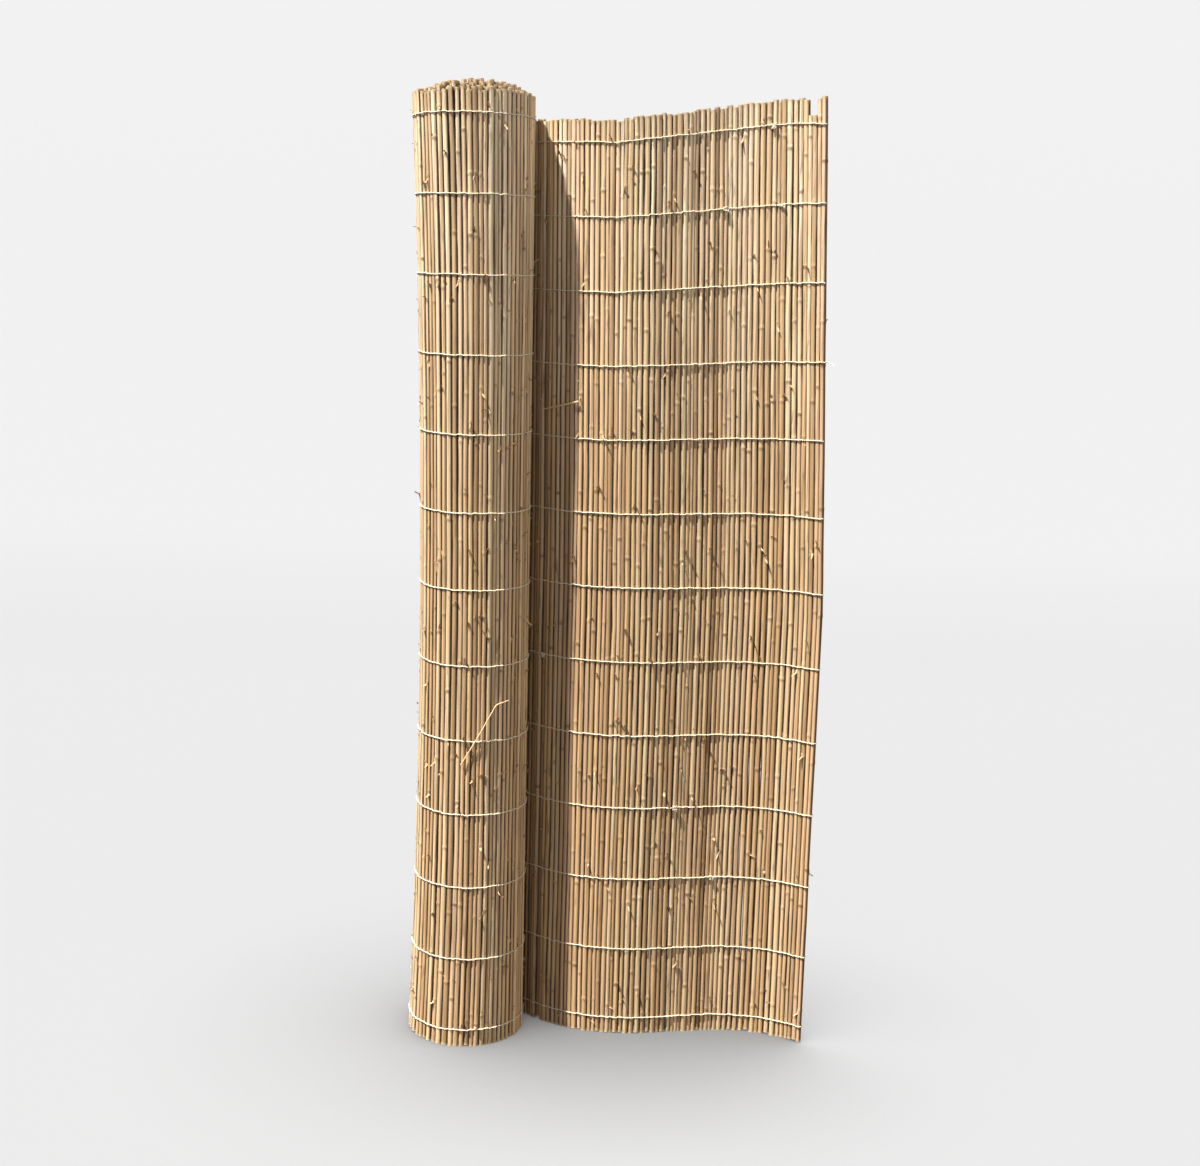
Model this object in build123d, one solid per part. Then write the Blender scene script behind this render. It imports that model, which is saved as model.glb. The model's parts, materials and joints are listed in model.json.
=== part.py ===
from build123d import *
import math
import os
import random

# A reed screening mat standing on end: most of it is still rolled up, and the rest stands
# unrolled beside the roll. Thirteen rows of twine hold the reeds side by side.
# Millimetres, +Z along the reeds, -Y the side of the mat that faces the viewer.

# Reeds
reed_length = 1500.0        # cut length of a reed
reed_pitch = 8.0            # mean distance from one reed to the next along the twine
reed_thickness = 7.6        # mat thickness over the crests of a mean reed
width_spread = 0.34         # how far a reed's width strays from the mean, as a share of it
stretch_seed = 3            # picks the widths in the unrolled stretch
turn_seed = 4               # picks the widths in the outer turn
ridge_half_angle = 60.0     # half of the arc that shows of each reed, degrees
ridge_flats = 4             # flats that make up that arc
end_bulge = 1.4             # how far the last reed rounds out past its neck
tip_uneven = 7.0            # how far the shortest tips fall below the cut length
tip_seed = 11               # picks the set of uneven tips

# Roll
core_radius = 30.0          # middle of the wall at the innermost end
turn_count = 6              # whole turns left in the roll
turn_gap = 2.6              # room for the twine between two turns
turn_step = 15.0            # degrees covered by each flat of the inner turns
core_rise = 20.0            # how far the innermost turn stands above the outer one
leave_angle = 41.0          # where the mat leaves the roll, degrees round from +X

# Unrolled stretch: runs of one length, each bending left (plus) or right by some degrees
run_length = 86.2
run_bends = (17.0, 24.0, 19.0, -1.0, -22.0, -28.0)

# Droop of the weave beside the roll, deepest at the tips
droop_depth = 46.0          # at the tips
droop_foot = 720.0          # height below which the rows stay level
droop_power = 1.5           # how late the droop sets in on the way up
droop_hold = 180.0          # length of the unrolled stretch that droops in full
droop_wrap = 190.0          # length on the roll over which the rows come level again

# Twine
row_count = 13
row_foot = 28.0             # lowest row above the ground
row_head = 32.0             # top row below the cut length of the reeds
twine_thickness = 1.6       # out from the reeds
twine_width = 2.0           # along the reeds
twine_seat = 0.2            # clearance between twine and crests
roll_step = 16.0            # degrees from one bend of the twine to the next on the roll
bends_per_run = 2           # bends of the twine on each run of the unrolled stretch
nip_length = 26.0           # twine stops this far short of the place where mat and roll meet
end_turns = 4               # bends of the twine round the last reed

# Slits where neighbouring reeds stand apart
slit_width = 1.5
slit_length = 66.0
slits_per_span = 4          # slits between one row of twine and the next
slit_stride = 29            # reeds counted on from one slit to the next

# Long straw across the front of the roll: degrees round the roll and height of each bend
roll_straw_diameter = 2.2
side_count = 6              # sides of a straw's section
roll_straw_bends = ((261.0, 471.0), (278.0, 519.0), (295.0, 566.0), (310.0, 571.0))

# Short straw on the unrolled stretch, close to the roll
panel_straw_diameter = 3.4
panel_straw_length = 66.0
panel_straw_height = 1040.0
panel_straw_place = 90.0    # its middle, from where the mat leaves the roll
panel_straw_slope = 15.0    # degrees above level

# Worked out from the sizes above
half_thickness = reed_thickness / 2
ridge_height = reed_pitch / 2 * math.tan(math.radians(ridge_half_angle) / 2)
neck_offset = half_thickness - ridge_height
top_offset = neck_offset + ridge_height * (1 + width_spread)
turn_pitch = reed_thickness + turn_gap
cut_reach = half_thickness + turn_gap / 2
roll_radius = core_radius + turn_count * turn_pitch
spiral_rate = turn_pitch / (2 * math.pi)
free_length = run_length * len(run_bends)
row_spacing = (reed_length - row_foot - row_head) / (row_count - 1)
full_height = reed_length + core_rise


def turned(distance):
    """Angle wound and radius left after this much of the mat has gone onto the roll."""
    radius = math.sqrt(roll_radius ** 2 - 2 * spiral_rate * distance)
    return (roll_radius - radius) / spiral_rate, radius


def wound(angle):
    """Length of mat taken up by this angle of the roll, in radians."""
    return roll_radius * angle - spiral_rate * angle ** 2 / 2


outer_turn = wound(2 * math.pi)
mat_length = free_length + wound(2 * math.pi * turn_count)


def on_roll(distance):
    """Place and outward direction of the wall's middle on the roll."""
    wind, radius = turned(distance)
    angle = math.radians(leave_angle) + wind
    outward = Vector(math.cos(angle), math.sin(angle))
    return outward * radius, outward


def on_stretch(distance):
    """Place and backward direction of the wall's middle, this far out from the roll."""
    place, _ = on_roll(0)
    heading = math.radians(leave_angle - 90)
    for bend in run_bends:
        span = min(max(distance, 0), run_length)
        half = math.radians(bend) * span / run_length / 2
        chord = span * (math.sin(half) / half if half else 1)
        place = place + Vector(math.cos(heading + half), math.sin(heading + half)) * chord
        heading += 2 * half
        distance -= run_length
    return place, Vector(-math.sin(heading), math.cos(heading))


def station(along):
    """Place and backward direction of the wall's middle, this far in from the free edge."""
    if along < free_length:
        return on_stretch(free_length - along)
    return on_roll(along - free_length)


def face_point(along, offset):
    """A point of the plan, off the wall's middle by the offset (plus is the back)."""
    place, back = station(along)
    return place + back * offset


def droop(along, height):
    """How far the weave hangs below level at this place of the mat."""
    rise = max(height - droop_foot, 0) / (reed_length - droop_foot)
    out = free_length - along
    if out > droop_hold:
        share = 1 - (out - droop_hold) / (free_length - droop_hold)
    else:
        share = 1 - max(-out, 0) / droop_wrap
    return droop_depth * max(share, 0) * rise ** droop_power


def reed_edges(span, seed):
    """Places of the necks between reeds of uneven width that fill a length of the mat."""
    draw = random.Random(seed)
    widths = [draw.uniform(1 - width_spread, 1 + width_spread) for _ in range(round(span / reed_pitch))]
    unit = span / sum(widths)
    return [unit * sum(widths[:i]) for i in range(len(widths) + 1)]


stretch_necks = [free_length - edge for edge in reversed(reed_edges(free_length, stretch_seed))]
turn_necks = [free_length + edge for edge in reed_edges(outer_turn, turn_seed)]


def ridge_points(necks, side):
    """Outline over the reeds on one side of the wall: a round ridge in flats from neck to neck."""
    half_angle = math.radians(ridge_half_angle)
    points = []
    for start, end in zip(necks, necks[1:]):
        for flat in range(ridge_flats):
            lean = half_angle * (2 * flat / ridge_flats - 1)
            along = (start + end + (end - start) * math.sin(lean) / math.sin(half_angle)) / 2
            fall = (1 - math.cos(lean)) / (1 - math.cos(half_angle))
            height = ridge_height * (end - start) / reed_pitch * (1 - fall)
            points.append(face_point(along, side * (neck_offset + height)))
    return points


def turn_points(start, end, offset):
    """A line round the inner turns in even flats, off the wall's middle by the offset."""
    flats = math.ceil(math.degrees(turned(end)[0] - turned(start)[0]) / turn_step)
    steps = [start + (end - start) * i / flats for i in range(flats + 1)]
    return [face_point(free_length + step, offset) for step in steps]


def mat_outline():
    """Plan of the whole mat: down its back into the roll, out along its front, and round the last reed."""
    wound_length = mat_length - free_length
    back = ridge_points(stretch_necks, 1) + ridge_points(turn_necks, 1)
    back += turn_points(outer_turn, wound_length, half_thickness)
    front = ridge_points(stretch_necks, -1) + turn_points(0, wound_length, -half_thickness)
    place, outward = station(0)
    edge_tip = place + outward.cross(Vector(0, 0, 1)) * end_bulge
    return make_face(Polyline(*back, *reversed(front), edge_tip, close=True))


def upright_block(corners, low, high):
    """An upright block over a plan, between two heights."""
    return Pos(0, 0, low) * extrude(make_face(Polyline(*corners, close=True)), amount=high - low)


def plan_block(start, end, low, high):
    """An upright block that holds the wall between two places of the mat."""
    corners = [
        face_point(start, -cut_reach),
        face_point(start, cut_reach),
        face_point(end, cut_reach),
        face_point(end, -cut_reach),
    ]
    return upright_block(corners, low, high)


def turn_rise(turn):
    """How far the tips of a turn, counted inwards, stand above those of the outer one."""
    inward = turn / (turn_count - 1)
    return core_rise * (1 - (1 - inward) ** 2)


def tip_cuts():
    """What is cut away above each reed of the stretch and the outer turn, and above each inner turn."""
    draw = random.Random(tip_seed)
    above = full_height + core_rise
    cuts = []
    for necks in (stretch_necks, turn_necks):
        for start, end in zip(necks, necks[1:]):
            hang = droop((start + end) / 2, reed_length)
            tip = reed_length - hang - tip_uneven * draw.random()
            cuts.append(plan_block(start, end, tip, above))
    for turn in range(1, turn_count - 1):
        start = wound(2 * math.pi * turn)
        end = wound(2 * math.pi * (turn + 1))
        ring = turn_points(start, end, cut_reach) + turn_points(start, end, -cut_reach)[::-1]
        cuts.append(upright_block(ring, reed_length + turn_rise(turn), above))
    return cuts


def slit_cuts():
    """Slits at the necks between reeds, between one row of twine and the next."""
    cuts = []
    count = 0
    for span in range(row_count - 1):
        middle = row_foot + (2 * span + 1) * row_spacing / 2
        for _ in range(slits_per_span):
            count += slit_stride
            neck = stretch_necks[1 + count % (len(stretch_necks) - 2)]
            height = middle - droop(neck, middle)
            block = plan_block(neck - slit_width / 2, neck + slit_width / 2, 0, slit_length)
            cuts.append(Pos(0, 0, height - slit_length / 2) * block)
    return cuts


def reed_mat():
    """The whole mat as one wall, with ridges, slits and uneven tips."""
    return extrude(mat_outline(), amount=full_height) - (tip_cuts() + slit_cuts())


def twine_section(place, outward, offset, height):
    """Corners of the twine's section at a place of the plan, in order round it."""
    near = place + outward * offset
    far = place + outward * (offset + twine_thickness)
    low = height - twine_width / 2
    high = height + twine_width / 2
    return [Vector(p.X, p.Y, z) for p, z in ((near, low), (far, low), (far, high), (near, high))]


def flat_face(*corners):
    """A flat face with these corners."""
    return make_face(Polyline(*corners, close=True)).face()


def twine_band(sections):
    """One closed solid through a row of sections: upright flats, with folded faces above and below."""
    faces = [flat_face(*sections[0]), flat_face(*sections[-1])]
    for first, second in zip(sections, sections[1:]):
        for this in range(len(first)):
            after = (this + 1) % len(first)
            corners = (first[this], first[after], second[after], second[this])
            upright = this % 2 == 1
            if upright:
                faces.append(flat_face(*corners))
            else:
                faces.append(flat_face(*corners[:3]))
                faces.append(flat_face(corners[0], *corners[2:]))
    return Solid(Shell(faces))


def clear_of(spread, radius):
    """Offset that keeps a straight run of twine off the crests of a curved wall."""
    return top_offset + twine_seat + spread ** 2 / (8 * radius)


def twine_row(level):
    """One row of twine: round the outside of the roll, out along the back and home along the front."""
    sections = []
    bend_spread = run_length / bends_per_run
    tightest = run_length / math.radians(max(abs(bend) for bend in run_bends))
    stretch_offset = clear_of(bend_spread, tightest)
    roll_offset = clear_of(math.radians(roll_step) * roll_radius, roll_radius)
    last_wind = 2 * math.pi - nip_length / roll_radius
    roll_bends = math.ceil(last_wind / math.radians(roll_step))

    def add(along, side, offset):
        place, back = station(along)
        sections.append(twine_section(place, back * side, offset, level - droop(along, level)))

    for i in range(roll_bends, 0, -1):
        add(free_length + wound(last_wind * i / roll_bends), 1, roll_offset)
    stops = bends_per_run * len(run_bends)
    last_reed = (stretch_necks[0] + stretch_necks[1]) / 2
    usable = free_length - last_reed
    for i in range(stops, 0, -1):
        add(last_reed + usable * i / stops, 1, stretch_offset)
    place, back = station(last_reed)
    height = level - droop(last_reed, level)
    end_reach = last_reed + end_bulge + twine_seat
    end_offset = end_reach / math.cos(math.pi / end_turns / 2)
    for i in range(end_turns + 1):
        around = back.rotate(Axis.Z, -180 * i / end_turns)
        sections.append(twine_section(place, around, end_offset, height))
    front_usable = usable - nip_length
    for i in range(1, stops + 1):
        add(last_reed + front_usable * i / stops, -1, stretch_offset)
    return twine_band(sections)


def straw(points, diameter):
    """A thin straw along straight runs."""
    path = Polyline(*points)
    section = Plane(path @ 0, z_dir=path % 0) * RegularPolygon(diameter / 2, side_count)
    return sweep(section, path, transition=Transition.RIGHT)


def roll_straw():
    """The long straw on the front of the roll, lying over a row of twine."""
    winds = [math.radians(angle - leave_angle) for angle, _ in roll_straw_bends]
    widest = max(b - a for a, b in zip(winds, winds[1:])) * roll_radius
    over_twine = clear_of(math.radians(roll_step) * roll_radius, roll_radius) + twine_thickness
    offset = over_twine + clear_of(widest, roll_radius) - top_offset + roll_straw_diameter / 2
    points = []
    for wind, (_, height) in zip(winds, roll_straw_bends):
        place, outward = on_roll(wound(wind))
        point = place + outward * offset
        points.append((point.X, point.Y, height))
    return straw(points, roll_straw_diameter)


def panel_straw():
    """The short straw on the front of the unrolled stretch."""
    place, back = on_stretch(panel_straw_place)
    touch = place - back * (top_offset + twine_seat + panel_straw_diameter / 2)
    ahead = back.cross(Vector(0, 0, 1))
    slope = math.radians(panel_straw_slope)
    reach = (ahead * math.cos(slope) + Vector(0, 0, math.sin(slope))) * panel_straw_length / 2
    middle = Vector(touch.X, touch.Y, panel_straw_height)
    return straw([middle - reach, middle + reach], panel_straw_diameter)


pieces = {"reed_mat": reed_mat()}
for row in range(row_count):
    pieces[f"binding_twine_{row + 1:02d}"] = twine_row(row_foot + row * row_spacing)
pieces["roll_straw"] = roll_straw()
pieces["panel_straw"] = panel_straw()

# The origin is on the ground under the middle of the whole
boxes = [piece.bounding_box() for piece in pieces.values()]
middle_x = (min(box.min.X for box in boxes) + max(box.max.X for box in boxes)) / 2
middle_y = (min(box.min.Y for box in boxes) + max(box.max.Y for box in boxes)) / 2
home = Pos(-middle_x, -middle_y, 0)

os.makedirs("parts", exist_ok=True)
for name, piece in pieces.items():
    export_step(home * piece, f"parts/{name}.step")
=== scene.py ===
import json
import math
import random

import bmesh
import bpy
import numpy as np
from bpy.props import FloatProperty, FloatVectorProperty, IntProperty, PointerProperty
from mathutils import Matrix, Vector

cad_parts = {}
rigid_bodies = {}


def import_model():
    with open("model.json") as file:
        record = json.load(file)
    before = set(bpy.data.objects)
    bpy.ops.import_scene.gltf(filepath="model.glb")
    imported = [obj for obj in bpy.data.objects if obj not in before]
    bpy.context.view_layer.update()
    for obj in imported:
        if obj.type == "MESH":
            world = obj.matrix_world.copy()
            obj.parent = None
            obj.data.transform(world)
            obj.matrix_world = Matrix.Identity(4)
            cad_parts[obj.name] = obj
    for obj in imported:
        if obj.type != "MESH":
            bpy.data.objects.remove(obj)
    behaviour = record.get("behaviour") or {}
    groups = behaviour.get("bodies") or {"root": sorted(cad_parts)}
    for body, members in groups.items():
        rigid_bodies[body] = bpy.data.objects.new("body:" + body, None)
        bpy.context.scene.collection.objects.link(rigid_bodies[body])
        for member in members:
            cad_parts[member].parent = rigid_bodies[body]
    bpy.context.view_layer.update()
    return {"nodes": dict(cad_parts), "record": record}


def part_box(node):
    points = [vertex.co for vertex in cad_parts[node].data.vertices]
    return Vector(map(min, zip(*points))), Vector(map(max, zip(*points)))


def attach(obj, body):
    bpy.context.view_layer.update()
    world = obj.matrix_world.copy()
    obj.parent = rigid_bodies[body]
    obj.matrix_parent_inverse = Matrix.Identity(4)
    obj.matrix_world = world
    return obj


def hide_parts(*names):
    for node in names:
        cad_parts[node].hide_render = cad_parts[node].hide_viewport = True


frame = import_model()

bl_info = {
    "name": "Reed fence roll",
    "version": (1, 0, 0),
    "blender": (4, 5, 0),
    "location": "View3D > Sidebar > Reed fence",
    "description": "Dresses a partly unrolled reed screening mat: reeds, twine, husks, straws and stage",
    "category": "Add Mesh",
}

MOUNTS = {mount["name"]: mount for mount in frame["record"]["mounts"]}
ROLL_AXIS = Vector(MOUNTS["ground_foot"]["pos_m"])
UP = Vector((0, 0, 1))
TWINE_NODES = sorted(name for name in frame["nodes"] if name.startswith("binding_twine"))
# Rings of a reed's tube: close together at each leaf joint, wide apart between one joint and the next
RINGS_PER_JOINT = 8
RINGS_AT_JOINT = 6
JOINT_RING_STEP = 0.0024
JOINT_REACH = JOINT_RING_STEP * (RINGS_AT_JOINT - 1) / 2
SWOLLEN_RINGS = (2, 3)
END_RINGS = 2
JOINT_GIRTHS = (0.98, 1.03)
# Room for the draws of one reed's joints. Reeds and husks share the seeds, so that husks sit on joints.
DRAWS_PER_REED = 64
SEEDS = {
    "joint height": 1, "proud": 2, "tip": 3, "foot": 4, "taper": 5, "joint girth": 6, "tone": 7,
    "joint tone": 8, "joint mark": 9, "husk face": 11, "husk place": 12, "husk tone": 13, "husk tilt": 14,
    "husk spin": 15, "husk flip": 16, "husk length": 17, "husk width": 18, "husk curl": 19, "husk kept": 20,
}
STRETCH_SEED, TURN_SEED, CORE_SEED, KNOT_SEED = 3, 4, 5, 17
# Noise that bends the reeds: cells to the metre along a reed, and cells from one reed to the next
STRAY_CELLS = (6.5, 7.31)
SWAY_CELLS = (2.6, 0.07)

# A scrap of husk: a grid that narrows, lifts, cups and ripples along its length, then is tilted and spun
HUSK_GRID = (4, 6)
HUSK_NARROWING, HUSK_LIFT, HUSK_CUP, HUSK_RIPPLE, HUSK_RIPPLES = 0.75, 0.9, 1.3, 0.12, 9
HUSK_TILT, HUSK_SPIN, HUSK_AROUND, HUSK_SEAT = 0.25, 0.5, 1.1, 0.97
HUSK_BACK_SHARE, HUSK_UP_SHARE = 0.4, 0.7
HUSK_LENGTHS, HUSK_WIDTHS, HUSK_CURLS, HUSK_SHORTNESS = (0.4, 1.0), (0.45, 1.0), (0.5, 1.3), 1.4

# Twine over one reed: how far to the side and how far out, in half widths; and its turn round the last reed
OVER_REED = ((-0.55, 0.84), (0, 1), (0.55, 0.84))
EDGE_TURNS = (-60, -90, -120)
STRAND_CELLS = 160
# Loose knots of fibre on the rows of twine: row from the ground up, and place along the stretch
KNOT_SPOTS = ((11, 0.352), (11, 0.445), (3, 0.287), (2, 0.352), (5, 0.062), (12, 0.430))
KNOT_TURNS, KNOT_OUT, KNOT_DOWN, KNOT_UP = 22, 0.6, 1.3, 0.8
# The loose end: its row, how thin it is, and how far out and up it goes, in lengths of the tail
TAIL_ROW = 9
FRAYED = 0.72
TAIL_BENDS = ((0, 0), (0.3, 0.06), (0.62, -0.02), (0.85, -0.12), (1, -0.3))

# The straw across the roll: degrees round the roll and height of each bend, and how far it stands off
LONG_STRAW = (
    (261, 0.471), (270, 0.496), (279, 0.521), (292, 0.557), (296, 0.566), (303, 0.569), (310, 0.571))
LONG_STRAW_LIFT, LONG_STRAW_RADIUS = 0.0078, 0.0012
# The straw on the stretch: place, slope, half length, bow and half thickness
SHORT_STRAW_OUT, SHORT_STRAW_SLOPE, SHORT_STRAW_HALF = 0.09, math.radians(15), 0.033
SHORT_STRAW_BOW, SHORT_STRAW_RADIUS = 0.0008, 0.0019
SHORT_STRAW_WAY = (-1, -0.6, -0.2, 0.2, 0.6, 1)

# A reed's hollow narrows by the wall divided by this, and edges sharper than this angle stay sharp
HOLLOW_NARROWING = 6
CUT_EDGE = math.radians(50)

# The reeds' tones: where each colour stands on a scale from 0 to 1
REED_TONES = ((0.0, "brown"), (0.16, "tan"), (0.38, "straw"), (0.60, "cream"), (0.74, "rosy"),
              (0.86, "straw"), (1.0, "green"))
# How much of a reed's tone changes from joint to joint, and how much in clouds along it
JOINT_TONE, CLOUD_TONE = 0.07, 0.16
# Noise in the finishes, in cells to the metre across and along a reed
CELLS = {
    "fibre": (900, 900, 10), "split": (360, 360, 3.5), "cloud": (50, 50, 6), "blotch": (150, 150, 20),
    "slit": (105, 105, 7), "vein": (600, 600, 60), "straw": (500, 500, 60), "fluff": (2200, 2200, 2200),
}
# How strongly each kind of mark colours a reed. Of these, the marks in the valleys and gaps between reeds and
# in the hollow ends are painted shade, and the mark at the tips is a painted highlight near both ends of a
# reed.
MARKS = {"streak": 0.4, "split": 0.5, "stain": 0.62, "joint": 0.85, "valley": 0.86, "slit": 0.13, "tip": 0.8,
         "cut": 0.6, "pith": 0.9}

# The floor, which curves up into the backdrop, in metres, with the curve's step in degrees
FLOOR_FRONT, FLOOR_HALF_WIDTH, WALL_TOP = -8, 12, 9
CURVE_START, CURVE_RADIUS, CURVE_STEP = 2.4, 1.6, 6
# The floor's colour in the light that it throws back and as the camera sees it, and how soon it turns to wall
FLOOR_LIT, FLOOR_SEEN, WALL_BLEND = (0.8, 0.8, 0.8), (0.15, 0.15, 0.15), 4
BLACK = (0, 0, 0)


def length(name, description, default):
    """A length setting, in metres."""
    return FloatProperty(name=name, description=description, default=default, unit="LENGTH", precision=4)


def share(name, description, default):
    """A setting that is a share of something else."""
    return FloatProperty(name=name, description=description, default=default, subtype="FACTOR")


def angle(name, description, degrees):
    """An angle setting."""
    return FloatProperty(name=name, description=description, default=math.radians(degrees), unit="ROTATION")


def colour(name, description, default):
    """A colour setting, in linear light."""
    return FloatVectorProperty(
        name=name, description=description, default=default, subtype="COLOR", min=0, max=1)


def whole(name, description, default):
    """A setting that is a whole number."""
    return IntProperty(name=name, description=description, default=default)


def plain(name, description, default):
    """A setting without a unit."""
    return FloatProperty(name=name, description=description, default=default)


class MatSettings(bpy.types.PropertyGroup):
    """Sizes of the mat's plan and of its reeds."""
    reed_length: length("Reed length", "Cut length of a reed", 1.5)
    reed_pitch: length("Reed pitch", "Mean distance from one reed to the next", 0.008)
    core_rise: length("Core rise", "How far the innermost turn stands above the outer one", 0.026)
    core_radius: length("Core radius", "Middle of the wall at the innermost end", 0.03)
    turn_count: whole("Turns", "Whole turns left in the roll", 6)
    turn_pitch: length("Turn pitch", "Distance from one turn to the next", 0.0102)
    leave_angle: angle("Leave angle", "Where the mat leaves the roll, round from +X", 41)
    run_length: length("Run length", "Length of each bent run of the unrolled stretch", 0.0862)
    run_bends: FloatVectorProperty(
        name="Run bends", description="Bend of each run, plus to the left", size=6, unit="ROTATION",
        default=[math.radians(bend) for bend in (17, 24, 19, -1, -22, -28)])


class ReedSettings(bpy.types.PropertyGroup):
    """How much one reed differs from the next."""
    width_spread: share("Width spread", "How far a reed's width strays from the mean", 0.34)
    girth_follow: share("Girth follow", "How far a reed's girth follows the width it takes up", 0.55)
    crowding: share("Crowding", "How far neighbouring reeds press into each other", 0.16)
    proud: length("Proud", "How far a reed stands out from or behind its neighbours", 0.0005)
    sides: whole("Sides", "Sides of a reed in the outer turn and the stretch", 10)
    core_sides: whole("Core sides", "Sides of a reed in the inner turns", 8)
    joints: whole("Joints", "Leaf joints on each reed", 8)
    core_joints: whole("Core joints", "Leaf joints on a reed in the inner turns", 3)
    joint_jitter: share("Joint jitter", "How far a joint strays, in joint spacings", 0.38)
    swell: share("Swell", "How far a joint stands out from its reed", 0.1)
    taper: share("Taper", "How much thinner one end of a reed is", 0.16)
    stray: length("Stray", "How far a reed strays between two rows of twine", 0.0016)
    sway: length("Sway", "How far reeds sway together along their length", 0.002)
    # The pale end is a painted highlight, at the foot as well as the tip.
    end_length: length("End length", "Length of a reed's pale end", 0.008)
    tip_rise: length("Tip rise", "How far the tips stand above the cut length", 0.006)
    edge_over: length("Edge over", "How much longer the reeds at the free edge are", 0.006)
    tip_uneven: length("Uneven tips", "How far the shortest tips fall below the others", 0.005)
    roll_uneven: length("Uneven roll", "How far the shortest tips of the roll fall below the others", 0.008)
    core_uneven: length("Uneven core", "How far its shortest inner tips fall below the others", 0.014)
    foot_uneven: length("Uneven feet", "How far the highest feet stand off the ground", 0.004)
    wall: length("Reed wall", "Thickness of the reed's wall at a cut end", 0.0012)
    hollow: length("Hollow", "Depth of the hollow that shows at a cut end", 0.007)
    broken_out: length("Broken reeds", "Place of the reeds whose tips are broken off", 0.494)
    broken_width: length("Broken width", "Width over which tips are broken off", 0.013)
    broken_drop: length("Broken length", "How much of that tip is gone", 0.026)
    husk_share: share("Husks", "Share of the joints that keep a scrap of leaf husk", 0.6)
    husk_length: length("Husk length", "Length of a long scrap of husk", 0.016)
    husk_width: length("Husk width", "Width of a wide scrap of husk", 0.007)
    brown: colour("Brown", "The darkest reeds", (0.20, 0.11, 0.05))
    tan: colour("Tan", "Weathered reeds", (0.46, 0.285, 0.136))
    straw: colour("Straw", "Most reeds", (0.62, 0.397, 0.197))
    cream: colour("Cream", "The palest reeds", (0.68, 0.505, 0.29))
    rosy: colour("Rosy", "Reeds with a blush", (0.58, 0.365, 0.21))
    green: colour("Green", "Reeds cut green", (0.59, 0.41, 0.19))
    bleached: FloatVectorProperty(
        name="Bleached", description="How much paler reeds are towards their tips, colour by colour",
        default=(1.25, 1.37, 1.57))
    # Colour of the shade painted into the valleys between the reeds and into their hollow ends
    painted_shade: colour("Painted shade", "Shade painted into the valleys between the reeds and into their hollow ends", (0.045, 0.024, 0.010))


class TwineSettings(bpy.types.PropertyGroup):
    """Sizes of the rows of twine and of what hangs on them."""
    radius: length("Radius", "Half the thickness of the twine", 0.00095)
    row_foot: length("Lowest row", "Lowest row above the ground", 0.028)
    row_head: length("Top row", "Top row below the cut length of the reeds", 0.032)
    seat: share("Seat", "How deep the twine sinks between two reeds, in half widths", 0.3)
    nip: length("Nip", "Twine stops this far short of where mat and roll meet", 0.026)
    waver: length("Waver", "How far a row strays from level, reed by reed", 0.0007)
    twist: length("Twist", "Length of one twist of the two strands", 0.005)
    knot: length("Knot", "Reach of a loose knot of fibre", 0.0042)
    tail: length("Tail", "Length of the loose end at the free edge", 0.019)
    colour: colour("Colour", "Undyed twine", (0.75, 0.66, 0.48))


class StandSettings(bpy.types.PropertyGroup):
    """How the mat settles as it stands: its droop, its waist and its lean."""
    droop_depth: length("Droop", "How far the tips beside the roll hang", 0.046)
    droop_foot: length("Droop foot", "Height below which the rows stay level", 0.72)
    droop_power: plain("Droop power", "How late the droop sets in", 1.5)
    droop_hold: length("Droop hold", "Length of the stretch that droops in full", 0.18)
    droop_wrap: length("Droop wrap", "Length on the roll over which the rows come level", 0.19)
    front_lift: length("Front lift", "How far the roll's front stands above its sides at the top", 0.006)
    roll_sink: length("Roll sink", "How far the weave of the roll's sides has slipped at the top", 0.0145)
    sink_power: plain("Sink power", "How near to the top the roll sinks", 8)
    edge_sag: length("Edge sag", "How far the free edge's weave hangs at the top", 0.012)
    edge_reach: length("Edge reach", "Length of the stretch in which its free edge sags", 0.115)
    edge_power: plain("Edge power", "How near to the top the free edge sags", 5)
    waist: length("Waist", "How far the roll pulls in at its waist", 0.0035)
    flare: length("Flare", "How far the roll flares from waist to ends", 0.0085)
    waist_height: length("Waist height", "Height of the waist", 0.8)
    bow: length("Bow", "How far the roll's middle bows towards the stretch", 0.006)
    bow_fall: length("Bow fall", "How far the bow falls away above and below", 0.009)
    bow_height: length("Bow height", "Height of the roll's bow", 0.65)
    lean: share("Lean", "Slope of the free edge above the droop's foot", 0.04)


class StageSettings(bpy.types.PropertyGroup):
    """Camera, light and floor."""
    camera_place: FloatVectorProperty(
        name="Camera", description="Place of the camera, from the foot of the roll's axis",
        default=(0.201, -2.8152, 1.317), unit="LENGTH")
    pitch: angle("Pitch", "How far the camera looks down", 11.42)
    tilt: angle("Tilt", "How far the camera is turned about its own line of sight", 1.513)
    lens: plain("Lens", "Focal length in millimetres", 54.54)
    key_heading: angle("Key heading", "Direction in which the key light travels, round from +X", 28)
    key_height: angle("Key height", "Height of the key light above level", 64)
    key_size: angle("Key size", "Width of the key light as the object sees it", 2)
    key_strength: plain("Key strength", "Strength of the key light", 11.6)
    fill_heading: angle("Fill heading", "Direction in which the fill light travels, round from +X", 160)
    fill_height: angle("Fill height", "Height of the fill light above level", 20)
    fill_size: angle("Fill size", "Width of the fill light as the object sees it", 50)
    fill_strength: plain("Fill strength", "Strength of the fill light", 0.65)
    sky_strength: plain("Sky strength", "Strength of the light from all round", 0.43)
    floor: colour("Floor", "Glow of the floor as the camera sees it", (0.77, 0.77, 0.77))
    shade_reach: length("Shade reach", "How far the object's soft shade reaches on the floor", 0.5)
    shade_depth: plain("Shade depth", "How dark that shade is", 1.2)
    wall: colour("Wall", "Glow of the backdrop as the camera sees it", (0.825, 0.825, 0.825))


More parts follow.
